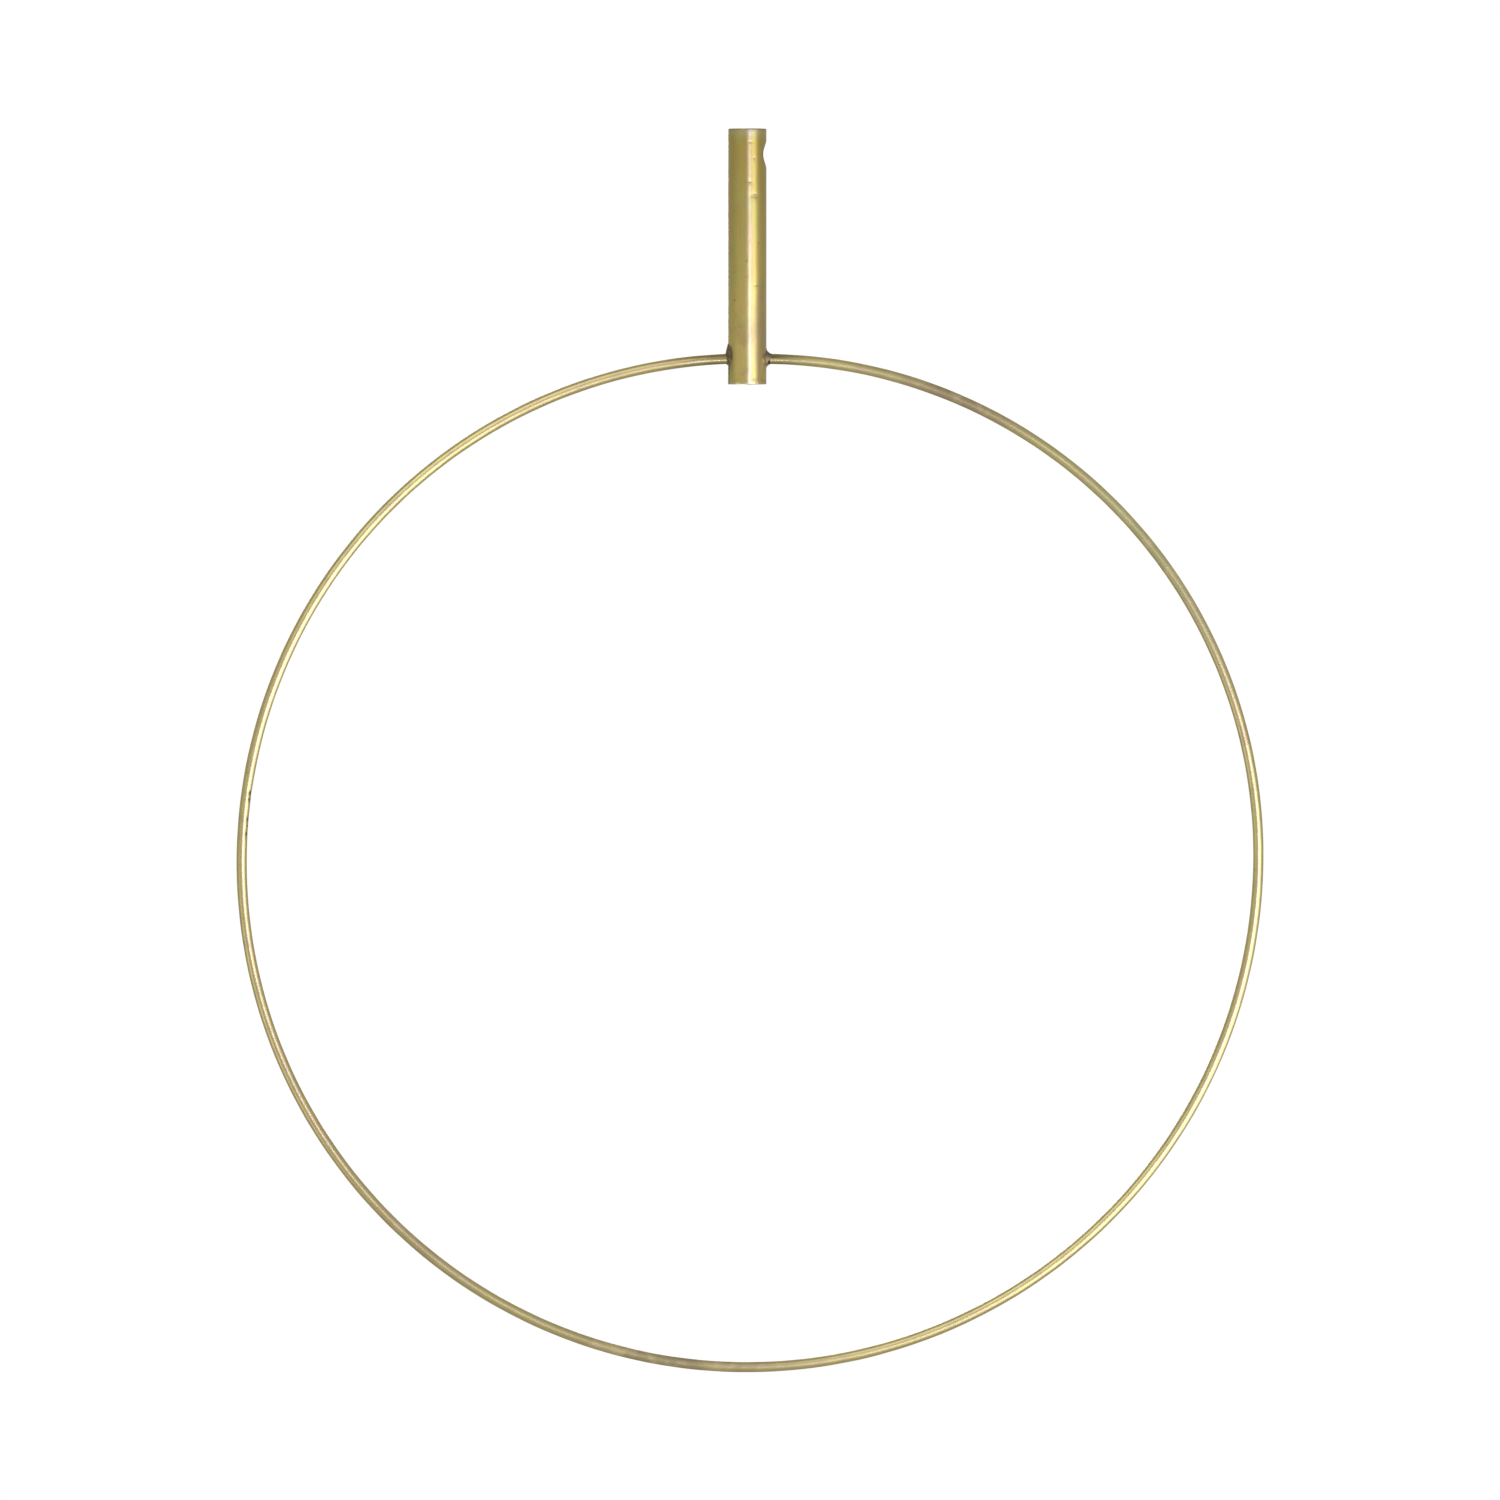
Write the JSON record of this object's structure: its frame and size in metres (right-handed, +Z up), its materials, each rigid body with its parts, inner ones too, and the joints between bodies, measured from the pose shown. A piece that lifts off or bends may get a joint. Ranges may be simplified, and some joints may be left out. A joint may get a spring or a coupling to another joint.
{
  "type": "wreath frame",
  "caption": "Round brass wreath frame: a bent rod ring brazed to a hollow hanger tube that has a cross hole near its top.",
  "frame": {"origin": "centre of the hanger tube's top rim, on the tube's axis", "axes": "+Z up along the hanger tube, +X to the right across the ring, -Y the front; the ring lies in the XZ plane"},
  "size_m": [0.4, 0.015, 0.4843],
  "materials": {
    "tube_brass": "drawn brass tube, satin, with an olive-brown antique patina",
    "rod_brass": "drawn brass rod, satin, with an olive-brown antique patina",
    "braze": "rough brazing metal, darkened brown by the torch"
  },
  "bodies": {
    "root": {"hanger_tube": "tube_brass", "ring_rod": "rod_brass", "braze_left": "braze", "braze_right": "braze"}
  },
  "joints": []
}
